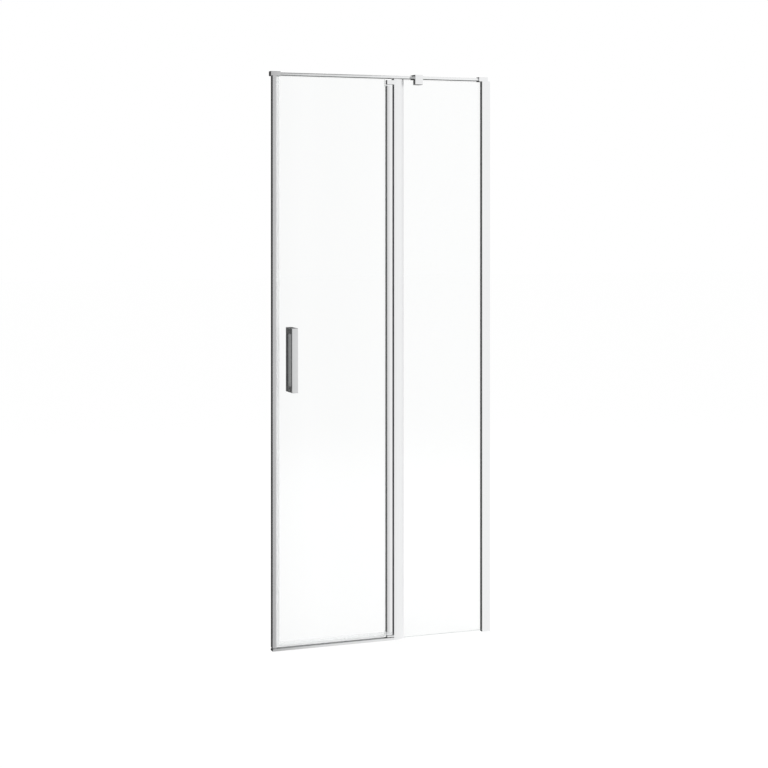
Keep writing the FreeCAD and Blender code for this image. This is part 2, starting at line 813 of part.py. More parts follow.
def clamp_assembly():
    """A jaw in front of the fixed glass that hangs from a body on the rail, and a plate behind."""
    xs = (clamp_left, clamp_right)
    jaw_zs = (profile_top - jaw_drop, profile_top)
    plate_xs = (clamp_left + clamp_plate_margin, clamp_right - clamp_plate_margin)
    plate_back = slot_back + clamp_plate_thickness
    tip = slot_front - clamp_screw_bite
    screw_cut = rod(clamp_screw_radius + screw_room, (clamp_x, tip - pin_end_room, clamp_screw_z),
                    ALONG_Y, plate_back - tip + pin_end_room + overrun)
    rail_cut = rail_bar(clamp_left - overrun, clamp_right + overrun, slide_gap / 2)

    head_piece = box(xs, (front, block_back), (frame_top, door_height))
    jaw = box(xs, (front, slot_front), (jaw_zs[0], frame_top))
    body = rounded(joined(head_piece, jaw), jaw_corner, ALONG_Z, lambda p: p.y < slot_front - near)
    body = rounded(body, jaw_lower_corner, ALONG_X,
                   lambda p: p.y < front + near and p.z < jaw_zs[0] + near)
    plate = rounded(box(plate_xs, (slot_back, plate_back), jaw_zs), jaw_corner, ALONG_Y)
    pads = [
        box(xs, (slot_front, glass_front), jaw_zs).cut(screw_cut),
        box(plate_xs, (glass_back, slot_back), jaw_zs).cut(screw_cut),
    ]
    shank = rod(clamp_screw_radius, (clamp_x, tip, clamp_screw_z), ALONG_Y, plate_back - tip)
    head = rod(clamp_head_radius, (clamp_x, plate_back, clamp_screw_z), ALONG_Y, clamp_head_height)
    return {
        "rail_clamp_body": body.cut([rail_cut, grub_hole(clamp_x), screw_cut]),
        "rail_clamp_plate": plate.cut(screw_cut),
        "rail_clamp_pads": group(pads),
        "rail_clamp_screw": joined(shank, head),
    }


# Handles: two equal bows, back to back through the leaf glass

def handle_bow(side):
    """A bar on two legs. Side is -1 in the room and 1 in the shower."""
    face = side * glass_thickness / 2
    foot = face + side * handle_gasket
    outer = face + side * handle_reach
    bar_inner = outer - side * handle_bar
    xs = (handle_x - handle_width / 2, handle_x + handle_width / 2)
    low = handle_centre_height - handle_height / 2
    high = handle_centre_height + handle_height / 2
    bow = box(xs, sorted((foot, outer)), (low, high))
    bow = rounded(bow, handle_corner, ALONG_Z, lambda p: abs(p.y - outer) < near)
    bow = rounded(bow, handle_corner, ALONG_X, lambda p: abs(p.y - outer) < near)
    gap = box((xs[0] - overrun, xs[1] + overrun), sorted((foot - side * overrun, bar_inner)),
              (low + handle_leg, high - handle_leg))
    bow = bow.cut(gap)
    for z in handle_leg_heights():
        start = foot - side * overrun
        depth = stud_bite + pin_end_room + overrun
        bow = bow.cut(rod(stud_radius + seat_gap, (handle_x, start, z), ALONG_Y * side, depth))
    return bow


def handle_assembly():
    foot = glass_thickness / 2 + handle_gasket
    half_leg = handle_leg / 2 - handle_gasket_margin
    half_width = handle_width / 2 - handle_gasket_margin
    sleeve_radius = stud_radius + sleeve_gap + sleeve_wall
    outer = handle_bow(-1)
    inner = handle_bow(1)
    gaskets = []
    sleeves = []
    studs = []
    grubs = []
    grub_y = foot + stud_bite / 2
    grub_start = handle_x + stud_radius
    grub_length = handle_width / 2 - stud_radius - handle_gasket_margin
    for z in handle_leg_heights():
        bore = rod(stud_radius + sleeve_gap, (handle_x, -foot - overrun, z), ALONG_Y,
                   2 * (foot + overrun))
        for ys in ((-foot, glass_front), (glass_back, foot)):
            pad = box((handle_x - half_width, handle_x + half_width), ys, (z - half_leg, z + half_leg))
            gaskets.append(pad.cut(bore))
        sleeve = rod(sleeve_radius, (handle_x, glass_front, z), ALONG_Y, glass_thickness)
        sleeves.append(sleeve.cut(bore))
        stud_length = 2 * (foot + stud_bite)
        studs.append(rod(stud_radius, (handle_x, -stud_length / 2, z), ALONG_Y, stud_length))
        grub_cut = rod(handle_grub_radius + seat_gap, (handle_x, grub_y, z), ALONG_X, handle_width)
        inner = inner.cut(grub_cut)
        grubs.append(rod(handle_grub_radius, (grub_start + near, grub_y, z), ALONG_X, grub_length))
    return {
        "outer_handle": outer,
        "inner_handle": inner,
        "handle_gaskets": group(gaskets),
        "handle_sleeves": group(sleeves),
        "handle_studs": group(studs),
        "handle_grub_screws": group(grubs),
    }


# The whole door

def build():
    nodes = {}
    nodes.update(strike_assembly())
    nodes.update(wall_assembly())
    nodes.update(fixed_glass_assembly())
    nodes.update(post_assembly())
    nodes.update(pivot_assembly())
    nodes.update(threshold_assembly())
    nodes.update(rail_assembly())
    nodes.update(clamp_assembly())
    nodes["leaf_glass"] = leaf_glass()
    nodes["leaf_profile"] = leaf_profile()
    nodes["leaf_glazing_strips"] = leaf_glazing_strips()
    nodes.update(magnet_seal_assembly())
    nodes["drip_seal"] = drip_seal()
    nodes.update(handle_assembly())
    return nodes


os.makedirs("parts", exist_ok=True)
for name, shape in build().items():
    shape.exportStep("parts/" + name + ".step")
    print(name, "solids", len(shape.Solids), "volume", round(shape.Volume), "valid", shape.isValid())
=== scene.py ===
import json
import math

import bmesh
import bpy
from mathutils import Matrix, Vector


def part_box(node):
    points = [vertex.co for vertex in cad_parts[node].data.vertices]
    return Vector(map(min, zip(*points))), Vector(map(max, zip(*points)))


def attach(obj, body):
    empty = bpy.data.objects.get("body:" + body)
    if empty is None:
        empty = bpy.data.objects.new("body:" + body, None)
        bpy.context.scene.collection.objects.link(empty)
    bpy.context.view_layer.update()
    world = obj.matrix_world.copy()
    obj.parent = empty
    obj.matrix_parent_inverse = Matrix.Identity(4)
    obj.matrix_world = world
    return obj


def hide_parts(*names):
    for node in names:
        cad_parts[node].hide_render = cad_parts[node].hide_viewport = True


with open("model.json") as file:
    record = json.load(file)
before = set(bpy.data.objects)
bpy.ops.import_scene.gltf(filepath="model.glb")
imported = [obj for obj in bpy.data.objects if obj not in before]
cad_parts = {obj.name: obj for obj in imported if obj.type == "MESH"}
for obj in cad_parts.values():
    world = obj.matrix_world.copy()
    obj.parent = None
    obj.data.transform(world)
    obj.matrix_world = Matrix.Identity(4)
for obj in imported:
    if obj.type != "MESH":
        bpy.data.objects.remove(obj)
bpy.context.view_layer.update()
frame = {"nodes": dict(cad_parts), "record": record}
nodes = frame["nodes"]

# Lengths are metres. X runs from the left wall to the right wall, Y from the room into the shower, Z up.

# Camera: level, turned a little to the right, with the horizon high in the picture
PHOTO_SIZE = 768
FOCAL_PIXELS = 1720.6
HORIZON_PIXEL = 208.85
CAMERA_PLACE = (-2.11617, -5.54406, 1.48565)
CAMERA_TURN = math.radians(-20.958)
SENSOR_WIDTH = 36.0

# Studio
FLOOR_SIZE = 60.0
AMBIENT = 0.8
FLOOR_GLOW = 0.868
FLOOR_COLOUR = 0.16
WHITE = (1.0, 1.0, 1.0, 1.0)

# What polished metal reflects, by degrees to the right of the plane X = 0: the half of the room in
# front of the door, and the half behind it, where two dark flags stand.
FRONT_HALF = [
    (-90, 0.28), (-8, 0.60), (15, 0.36), (17.0, 0.44), (17.4, 0.47), (17.8, 0.86), (18.4, 0.82),
    (19.2, 0.76), (20.5, 0.87), (21, 0.95), (23, 0.99), (28, 0.97), (32, 0.92), (45, 0.98), (65, 1.04),
    (76, 1.06), (86, 0.62), (90, 0.60),
]
REAR_HALF = [
    (-90, 0.50), (-40, 0.60), (-31, 0.03), (-24.5, 0.03), (-21, 0.06), (-17, 0.06), (-13, 0.06),
    (-9, 0.70), (9, 0.70), (13, 0.06), (31, 0.06), (45, 1.07), (76, 1.06), (86, 0.62), (90, 0.60),
]
ROOM_PEAK = 1.07

# What lies above and below those walls: a brightness, and the range of a direction's Z over which it
# begins. The ceiling is behind the door. The dark part up in front ends at a side angle.
CEILING = 0.85
CEILING_RISE = (0.33, 0.50)
UP_FRONT = 0.12
UP_FRONT_RISE = (0.2, 0.5)
UP_FRONT_END = (math.radians(20.0), math.radians(21.2))
BELOW = 0.06
BELOW_DROP = (-0.62, -0.80)
STRAIGHT_DOWN = 0.62
STRAIGHT_DOWN_DROP = (-0.90, -0.97)

# The range of a direction's Y over which the two halves of the room meet
HALVES_MEET = (-0.05, 0.05)

# A ray that has passed more glass faces than this, such as off metal behind a pane, finds a dimmer room
PANE_PASSES = 3.5
BEHIND_GLASS = 0.45

# Lamps: place and power. All are of one size and aim at one point near the middle of the door.
LAMP_TARGET = (0.0, 0.0, 1.0)
LAMP_SIZE = 2.5
LAMPS = {
    "key": ((-2.5, -3.5, 3.5), 60.0),
    "fill": ((3.0, -2.5, 2.5), 30.0),
    "back": ((0.5, 3.5, 3.5), 40.0),
}

# Soft strips, seals and screws: lengths are millimetres here, and angles are radians
MM = 0.001
GLASS_HALF = 3.0
REAR_LIP_SETBACK = 4.0
POST_LIP_REACH = 18.0
STRIP_ROUND = 0.45
SETTING_SHARES = (0.2, 0.8)
GASKET_HEIGHT = 20.0
STUD_ROOM = 3.2
CLAMP_MARGIN = 3.0
CLAMP_SCREW_ROOM = 2.6
MAGNET_ROOM = 0.05
SEAL_BASE = 2.0
NECK_WALL = 1.0
DRIP_BASE = 1.5
DRIP_FIN_SPACING = 3.4
DRIP_FIN_HALF = 0.35
DRIP_FIN_ROOT = 0.5
BULB_WALL = 1.1
BULB_BASE = 1.2
LOCK_HEAD_RADIUS = 3.2
LOCK_HEAD_HEIGHT = 2.0
LOCK_SHANK_RADIUS = 1.75
GRUB_RADIUS = 2.0
GRUB_HEXAGON = 2.0
CAP_HEAD_RADIUS = 4.0
CAP_HEAD_HEIGHT = 2.8
CAP_SHANK_RADIUS = 2.5
CAP_HEXAGON = 3.0
SCREW_TWIST = 1.5
SHARP_EDGE = math.radians(35.0)


# Small helpers for node trees

def add(tree, kind, inputs=None, **settings):
    """A new node with its settings, and with values or links for the inputs that are named."""
    node = tree.nodes.new(kind)
    for key, value in settings.items():
        setattr(node, key, value)
    for key, value in (inputs or {}).items():
        if isinstance(value, bpy.types.NodeSocket):
            tree.links.new(value, node.inputs[key])
        else:
            node.inputs[key].default_value = value
    return node


def calculate(tree, operation, first, second=0.0):
    """The result of one sum on two values."""
    return add(tree, "ShaderNodeMath", {0: first, 1: second}, operation=operation).outputs[0]


def remap(tree, value, low, high, to_low, to_high, smooth=False):
    """A value moved from one range to another and held within it."""
    node = add(tree, "ShaderNodeMapRange", {
        "Value": value, "From Min": low, "From Max": high, "To Min": to_low, "To Max": to_high,
    }, interpolation_type="SMOOTHSTEP" if smooth else "LINEAR")
    return node.outputs["Result"]


def blend(tree, share, first, second):
    """A value between two, by a share."""
    node = add(tree, "ShaderNodeMix", {"Factor": share, "A": first, "B": second}, data_type="FLOAT")
    return node.outputs["Result"]


def ray_kinds(tree):
    """Two shares: for rays that the eye sees straight or through glass, and for rays off metal."""
    ray = add(tree, "ShaderNodeLightPath")
    reflected = calculate(tree, "GREATER_THAN", ray.outputs["Glossy Depth"], 0.5)
    straight = calculate(tree, "SUBTRACT", 1.0, reflected)
    through_glass = calculate(tree, "MULTIPLY", ray.outputs["Is Transmission Ray"], straight)
    return calculate(tree, "MAXIMUM", ray.outputs["Is Camera Ray"], through_glass), reflected


def new_material(name):
    material = bpy.data.materials.new(name)
    material.use_nodes = True
    material.node_tree.nodes.clear()
    return material, material.node_tree


def finish_material(tree, shader):
    add(tree, "ShaderNodeOutputMaterial", {"Surface": shader.outputs[0]})


def object_noise(tree, scale, detail=3.0, roughness=0.6):
    """Noise on the piece's own coordinates, with a scale for each axis in waves per metre."""
    place = add(tree, "ShaderNodeTexCoord").outputs["Object"]
    mapping = add(tree, "ShaderNodeMapping", {"Vector": place, "Scale": scale})
    noise = add(tree, "ShaderNodeTexNoise", {
        "Vector": mapping.outputs["Vector"], "Scale": 1.0, "Detail": detail, "Roughness": roughness,
    })
    return noise.outputs["Fac"]


# Materials

BUMP_DISTANCE = 0.0001
NOISE_SPAN = (0.3, 0.7)


def metal(name, colour, scale, haze, relief):
    """Metal whose haze and relief follow a noise, with a scale for each axis."""
    material, tree = new_material(name)
    grain = object_noise(tree, scale)
    bump = add(tree, "ShaderNodeBump", {"Strength": relief, "Distance": BUMP_DISTANCE, "Height": grain})
    shader = add(tree, "ShaderNodeBsdfPrincipled", {
        "Base Color": (*colour, 1.0),
        "Metallic": 1.0,
        "Roughness": remap(tree, grain, *NOISE_SPAN, *haze),
        "Normal": bump.outputs["Normal"],
    })
    finish_material(tree, shader)
    return material


def clear_glass():
    """Clear float glass whose polished edges are slightly green. Rays from lamps pass it."""
    material, tree = new_material("clear_glass")
    facing = add(tree, "ShaderNodeSeparateXYZ", {
        "Vector": add(tree, "ShaderNodeTexCoord").outputs["Normal"],
    }).outputs["Y"]
    face_share = remap(tree, calculate(tree, "ABSOLUTE", facing), 0.5, 0.9, 0.0, 1.0)
    tint = add(tree, "ShaderNodeMix", {
        "Factor": face_share, "A": (0.74, 0.86, 0.82, 1.0), "B": (0.978, 0.984, 0.982, 1.0),
    }, data_type="RGBA")
    glass = add(tree, "ShaderNodeBsdfPrincipled", {
        "Base Color": tint.outputs["Result"],
        "Roughness": remap(tree, face_share, 0.0, 1.0, 0.15, 0.0),
        "IOR": 1.5,
        "Transmission Weight": remap(tree, face_share, 0.0, 1.0, 0.3, 1.0),
    })
    clear = add(tree, "ShaderNodeBsdfTransparent", {"Color": (0.94, 0.96, 0.955, 1.0)})
    lamp_ray = add(tree, "ShaderNodeLightPath").outputs["Is Shadow Ray"]
    shader = add(tree, "ShaderNodeMixShader", {0: lamp_ray, 1: glass.outputs[0], 2: clear.outputs[0]})
    finish_material(tree, shader)
    return material


def soft_clear_plastic():
    """Milky clear flexible plastic, a little cloudy, with fine upright lines."""
    material, tree = new_material("clear_seal")
    cloud = object_noise(tree, (900.0, 900.0, 40.0))
    plastic = add(tree, "ShaderNodeBsdfPrincipled", {
        "Base Color": (0.95, 0.96, 0.965, 1.0),
        "Roughness": remap(tree, cloud, *NOISE_SPAN, 0.15, 0.3),
        "IOR": 1.4,
        "Alpha": remap(tree, cloud, *NOISE_SPAN, 0.10, 0.16),
    })
    finish_material(tree, plastic)
    return material


def moulded_plastic(name, colour, haze, relief, scale=2500.0):
    """Opaque plastic or rubber with the fine grain of its mould."""
    material, tree = new_material(name)
    grain = object_noise(tree, (scale, scale, scale))
    cloud = object_noise(tree, (60.0, 60.0, 60.0))
    bump = add(tree, "ShaderNodeBump", {"Strength": relief, "Distance": BUMP_DISTANCE, "Height": grain})
    light = tuple(min(1.0, value * 1.03) for value in colour)
    dark = tuple(value * 0.97 for value in colour)
    tone = add(tree, "ShaderNodeMix", {"Factor": cloud, "A": (*dark, 1.0), "B": (*light, 1.0)},
               data_type="RGBA")
    shader = add(tree, "ShaderNodeBsdfPrincipled", {
        "Base Color": tone.outputs["Result"],
        "Roughness": remap(tree, grain, *NOISE_SPAN, *haze),
        "Normal": bump.outputs["Normal"],
    })
    finish_material(tree, shader)
    return material


ACROSS = 2600.0
ALONG = 5.0
ALUMINIUM = (0.885, 0.89, 0.895)
MATERIALS = {
    "upright": metal("aluminium_upright", ALUMINIUM, (ACROSS, ACROSS, ALONG), (0.05, 0.11), 0.04),
    "level": metal("aluminium_level", ALUMINIUM, (ALONG, ACROSS, ACROSS), (0.05, 0.11), 0.04),
    "satin": metal("aluminium_satin", ALUMINIUM, (ACROSS, ACROSS, ALONG), (0.25, 0.33), 0.06),
    "chrome": metal("chrome", (0.87, 0.875, 0.88), (90.0, 90.0, 90.0), (0.02, 0.06), 0.01),
    "steel": metal("steel", (0.62, 0.63, 0.64), (1500.0, 1500.0, 1500.0), (0.2, 0.32), 0.1),
    "glass": clear_glass(),
    "seal": soft_clear_plastic(),
    "strip": moulded_plastic("glazing_strip", (0.62, 0.63, 0.64), (0.5, 0.65), 0.15),
    "magnet": moulded_plastic("magnet", (0.70, 0.71, 0.72), (0.35, 0.5), 0.05),
    "white": moulded_plastic("white_plastic", (0.86, 0.86, 0.86), (0.25, 0.4), 0.06),
    "grey": moulded_plastic("grey_plastic", (0.76, 0.77, 0.78), (0.3, 0.45), 0.06),
}
BY_SLOT = {
    "bright_aluminium": "upright", "chrome": "chrome", "clear_glass": "glass", "clear_seal": "seal",
    "glazing_strip": "strip", "magnet": "magnet", "white_plastic": "white", "grey_plastic": "grey",
    "steel": "steel",
}
LEVEL_NODES = ("rail", "threshold_bar")
SATIN_NODES = ("hinge_post", "post_top_cap", "post_bottom_cap")


def dress_cad_nodes():
    """Gives each CAD node the finished material of its slot."""
    for part in frame["record"]["subparts"]:
        name = BY_SLOT[part["material_slot"]]
        if part["node"] in LEVEL_NODES:
            name = "level"
        elif part["node"] in SATIN_NODES:
            name = "satin"
        for place in nodes[part["node"]].material_slots:
            place.material = MATERIALS[name]


# Sections: closed outlines in millimetres, run along one axis

def rounded_outline(corners, steps=5):
    """A closed outline from corners, each of two coordinates and the radius of its rounding."""
    outline = []
    for place, (a, b, radius) in enumerate(corners):
        here = Vector((a, b))
        before = (Vector(corners[place - 1][:2]) - here).normalized()
        after = (Vector(corners[(place + 1) % len(corners)][:2]) - here).normalized()
        half_angle = before.angle(after) / 2
        if radius == 0.0:
            outline.append(here)
            continue
        centre = here + (before + after).normalized() * (radius / math.sin(half_angle))
        start = here + before * (radius / math.tan(half_angle)) - centre
        end = here + after * (radius / math.tan(half_angle)) - centre
        turn = math.atan2(start.x * end.y - start.y * end.x, start.dot(end))
        for step in range(steps + 1):
            outline.append(centre + Matrix.Rotation(turn * step / steps, 2) @ start)
    return outline


def box_outline(low, high, radius):
    return rounded_outline([(low[0], low[1], radius), (high[0], low[1], radius),
                            (high[0], high[1], radius), (low[0], high[1], radius)])


def round_outline(centre, radius, steps=32):
    turns = [2 * math.pi * step / steps for step in range(steps)]
    return [Vector((centre[0] + radius * math.cos(turn), centre[1] + radius * math.sin(turn)))
            for turn in turns]


def finished_mesh(name, work):
    """A mesh with its doubled points joined, its faces outwards and all but its sharp edges smooth."""
    bmesh.ops.remove_doubles(work, verts=work.verts, dist=1e-7)
    bmesh.ops.recalc_face_normals(work, faces=work.faces)
    mesh = bpy.data.meshes.new(name)
    work.to_mesh(mesh)
    work.free()
    mesh.shade_smooth()
    mesh.set_sharp_from_angle(angle=SHARP_EDGE)
    return mesh


def section(outlines, low, high, along):
    """A closed mesh over outlines, the first one round the others, run from low to high along an axis."""
    curve = bpy.data.curves.new("section", "CURVE")
    curve.dimensions = "2D"
    curve.fill_mode = "BOTH"
    curve.extrude = (high - low) / 2
    for points in outlines:
        spline = curve.splines.new("POLY")
        spline.points.add(len(points) - 1)
        for place, point in zip(spline.points, points):
            place.co = (*point, 0.0, 1.0)
        spline.use_cyclic_u = True
    holder = bpy.data.objects.new("section", curve)
    bpy.context.scene.collection.objects.link(holder)
    rough = bpy.data.meshes.new_from_object(holder.evaluated_get(bpy.context.evaluated_depsgraph_get()))
    bpy.data.objects.remove(holder)
    for point in rough.vertices:
        a, b, run = point.co
        run += (low + high) / 2
        point.co = Vector({"X": (run, a, b), "Y": (a, run, b), "Z": (a, b, run)}[along]) * MM
    work = bmesh.new()
    work.from_mesh(rough)
    return finished_mesh("section", work)


def merged(meshes):
    work = bmesh.new()
    for mesh in meshes:
        work.from_mesh(mesh)
    return finished_mesh("merged", work)


def stand_in(node, mesh, material):
    """Shows a mesh in the place of a CAD node, on its body and with its finish."""
    record = frame["record"]
    body = next(name for name, members in record["behaviour"]["bodies"].items() if node in members)
    mesh.name = "shown_" + node
    mesh.materials.clear()
    mesh.materials.append(MATERIALS[material])
    made = bpy.data.objects.new("shown_" + node, mesh)
    bpy.context.scene.collection.objects.link(made)
    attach(made, body)
    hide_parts(node)


def corners_of(node):
    """A node's lowest and highest corners, in millimetres."""
    low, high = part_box(node)
    return Vector(low) / MM, Vector(high) / MM


# Soft pieces

def lip_strip(xs, ys, zs, shown):
    """An upright strip whose end is rounded where it shows: -1 for the left end and 1 for the right."""
    left = STRIP_ROUND if shown < 0 else 0.0
    right = STRIP_ROUND if shown > 0 else 0.0
    outline = rounded_outline([(xs[0], ys[0], left), (xs[1], ys[0], right),
                               (xs[1], ys[1], right), (xs[0], ys[1], left)])
    return section([outline], *zs, "Z")


def glazing_strips():
    for node, shown in (("wall_glazing_strips", -1), ("leaf_glazing_strips", -1), ("post_glazing_strips", 1)):
        low, high = corners_of(node)
        zs = (low.z, high.z)
        rear_xs = (low.x + REAR_LIP_SETBACK, high.x) if shown < 0 else (low.x, low.x + POST_LIP_REACH)
        front = lip_strip((low.x, high.x), (low.y, -GLASS_HALF), zs, shown)
        rear = lip_strip(rear_xs, (GLASS_HALF, high.y), zs, shown)
        stand_in(node, merged([front, rear]), "strip")


def magnet_seal():
    """The soft seal on the leaf's free edge: a pocket for the magnet, a hollow neck and a clip."""
    low, high = corners_of("leaf_magnet_seal")
    core_low, core_high = corners_of("leaf_magnet_strip")
    glass_left = corners_of("leaf_glass")[0].x
    skin = core_low.x - low.x
    pocket_right = core_high.x + skin
    pocket_back = core_high.y + skin
    base = glass_left - SEAL_BASE
    front = -GLASS_HALF
    outer = rounded_outline([
        (low.x, low.y, 1.3), (pocket_right, low.y, 1.3), (pocket_right, front, 0.9), (base, front, 0.5),
        (base, -high.y, 0.9), (high.x, -high.y, 0.6), (high.x, front, 0.3), (glass_left, front, 0.2),
        (glass_left, GLASS_HALF, 0.2), (high.x, GLASS_HALF, 0.3), (high.x, high.y, 0.6), (base, high.y, 0.9),
        (base, pocket_back, 0.5), (low.x, pocket_back, 1.3),
    ])
    pocket = box_outline(core_low.xy, core_high.xy, 0.5)
    neck = box_outline((pocket_right, front + NECK_WALL), (base, pocket_back - NECK_WALL), 0.8)
    stand_in("leaf_magnet_seal", section([outer, pocket, neck], low.z, high.z, "Z"), "seal")
    room = Vector((MAGNET_ROOM, MAGNET_ROOM))
    core = box_outline(core_low.xy + room, core_high.xy - room, 0.45)
    stand_in("leaf_magnet_strip", section([core], core_low.z, core_high.z, "Z"), "magnet")


def strike_magnet():
    low, high = corners_of("strike_magnet_strip")
    outline = box_outline(low.xy, high.xy, 0.4)
    stand_in("strike_magnet_strip", section([outline], low.z, high.z, "Z"), "magnet")


def drip_seal():
    """The soft seal under the leaf: a clip on the glass, three fins and a slanted lip to the front."""
    low, high = corners_of("drip_seal")
    glass_low = corners_of("leaf_glass")[0].z
    base = glass_low - DRIP_BASE
    back = high.y
    tip = low.z
    corners = [(low.y, tip, 0.4), (-back + 0.25, base - 0.05, 0.3)]
    for fin in (-1, 0, 1):
        middle = fin * DRIP_FIN_SPACING
        if fin >= 0:
            corners.append((middle - DRIP_FIN_ROOT, base, 0.4))
        corners += [(middle - DRIP_FIN_HALF, tip, 0.2), (middle + DRIP_FIN_HALF, tip, 0.2),
                    (middle + DRIP_FIN_ROOT, base, 0.18)]
    corners += [
        (back, base, 0.18), (back, high.z, 0.5), (GLASS_HALF, high.z, 0.3), (GLASS_HALF, glass_low, 0.2),
        (-GLASS_HALF, glass_low, 0.2), (-GLASS_HALF, high.z, 0.3), (-back, high.z, 0.5),
        (-back, glass_low + 0.2, 0.9), (low.y, tip + 1.2, 0.4),
    ]
    stand_in("drip_seal", section([rounded_outline(corners)], low.x, high.x, "X"), "seal")


def gap_seal():
    """The soft hollow bulb between the leaf profile and the post."""
    low, high = corners_of("hinge_gap_seal")
    outer = rounded_outline([(low.x, low.y, 2.4), (high.x, low.y, 0.3),
                             (high.x, high.y, 0.3), (low.x, high.y, 2.4)])
    hollow = box_outline((low.x + BULB_WALL, low.y + BULB_WALL),
                         (high.x - BULB_BASE, high.y - BULB_WALL), 1.4)
    stand_in("hinge_gap_seal", section([outer, hollow], low.z, high.z, "Z"), "strip")


def setting_blocks():
    low, high = corners_of("setting_blocks")
    glass_low, glass_high = corners_of("fixed_glass")
    blocks = []
    for share in SETTING_SHARES:
        middle = glass_low.x + share * (glass_high.x - glass_low.x)
        half = min(abs(middle - low.x), abs(high.x - middle))
        outline = box_outline((low.y, low.z), (high.y, high.z), 0.5)
        blocks.append(section([outline], middle - half, middle + half, "X"))
    stand_in("setting_blocks", merged(blocks), "seal")


def handle_gaskets():
    low, high = corners_of("handle_gaskets")
    middle_x = (low.x + high.x) / 2
    pads = []
    for z_low in (low.z, high.z - GASKET_HEIGHT):
        outline = box_outline((low.x, z_low), (high.x, z_low + GASKET_HEIGHT), 1.5)
        hole = round_outline((middle_x, z_low + GASKET_HEIGHT / 2), STUD_ROOM)
        pads.append(section([outline, hole], low.y, -GLASS_HALF, "Y"))
        pads.append(section([outline, hole], GLASS_HALF, high.y, "Y"))
    stand_in("handle_gaskets", merged(pads), "seal")


def clamp_pads():
    low, high = corners_of("rail_clamp_pads")
    hole = round_outline(((low.x + high.x) / 2, (low.z + high.z) / 2), CLAMP_SCREW_ROOM)
    front = box_outline((low.x, low.z), (high.x, high.z), 1.0)
    rear = box_outline((low.x + CLAMP_MARGIN, low.z), (high.x - CLAMP_MARGIN, high.z), 1.0)
    pads = [section([front, hole], low.y, -GLASS_HALF, "Y"), section([rear, hole], GLASS_HALF, high.y, "Y")]
    stand_in("rail_clamp_pads", merged(pads), "strip")


# Screws

CROSS = [(1.9, 0.45), (0.45, 0.45), (0.45, 1.9)]
CROSS += [(-y, x) for x, y in CROSS] + [(-x, -y) for x, y in CROSS] + [(y, -x) for x, y in CROSS]


def hexagon(across):
    radius = across / math.sqrt(3.0)
    return [(radius * math.cos(math.radians(turn)), radius * math.sin(math.radians(turn)))
            for turn in range(0, 360, 60)]


def screw_model(profile, recess, depth, narrowing, steps=32):
    """A screw along Z, in millimetres: a turned body with a recess in its flat top. The profile gives
    radius and height from the top's rim to the tip."""
    work = bmesh.new()
    turns = [2 * math.pi * step / steps for step in range(steps)]

    def ring(places):
        return [work.verts.new(place) for place in places]

    def wall(first, second):
        for place in range(len(first)):
            after = (place + 1) % len(first)
            work.faces.new((first[place], first[after], second[after], second[place]))

    rings = [ring([(radius * math.cos(turn), radius * math.sin(turn), z) for turn in turns])
             for radius, z in profile]
    for first, second in zip(rings, rings[1:]):
        wall(first, second)
    work.faces.new(rings[-1])
    top = profile[0][1]
    mouth = ring([(x, y, top) for x, y in recess])
    floor = ring([(x * narrowing, y * narrowing, top - depth) for x, y in recess])
    wall(mouth, floor)
    work.faces.new(floor)
    rim = set(rings[0]) | set(mouth)
    border = [edge for edge in work.edges if set(edge.verts) <= rim]
    bmesh.ops.triangle_fill(work, edges=border, use_beauty=True)
    bmesh.ops.scale(work, vec=(MM, MM, MM), verts=work.verts)
    return finished_mesh("screw", work)


def pan_screw(length):
    """A screw with a rounded head and a cross recess. Its length counts from under the head."""
    shoulder = LOCK_HEAD_RADIUS - 1.0
    middle = LOCK_HEAD_HEIGHT - 1.0
    profile = [(shoulder + 0.1, LOCK_HEAD_HEIGHT)]
    for turn in range(15, 91, 15):
        angle = math.radians(turn)
        profile.append((shoulder + math.sin(angle), middle + math.cos(angle)))
    profile += [(LOCK_HEAD_RADIUS, 0.0), (LOCK_SHANK_RADIUS, 0.0), (LOCK_SHANK_RADIUS, -length + 0.6)]
    profile += [(1.2, -length)]
    return screw_model(profile, CROSS, 1.2, 0.55)


def grub_screw(length):
    """A headless screw with a hexagon socket."""
    profile = [(GRUB_RADIUS - 0.25, 0.0), (GRUB_RADIUS, -0.25), (GRUB_RADIUS, -length + 0.4)]
    profile += [(GRUB_RADIUS - 0.4, -length)]
    return screw_model(profile, hexagon(GRUB_HEXAGON), min(1.6, length - 0.8), 0.98)


def cap_screw(length):
    """A screw with a straight head and a hexagon socket. Its length counts from under the head."""
    radius, height, shank = CAP_HEAD_RADIUS, CAP_HEAD_HEIGHT, CAP_SHANK_RADIUS
    profile = [(radius - 0.5, height), (radius - 0.15, height - 0.15), (radius, height - 0.5)]
    profile += [(radius, 0.1), (radius - 0.1, 0.0)]
    profile += [(shank, 0.0), (shank, -length + 0.5), (shank - 0.5, -length)]
    return screw_model(profile, hexagon(CAP_HEXAGON), height - 0.8, 0.98)


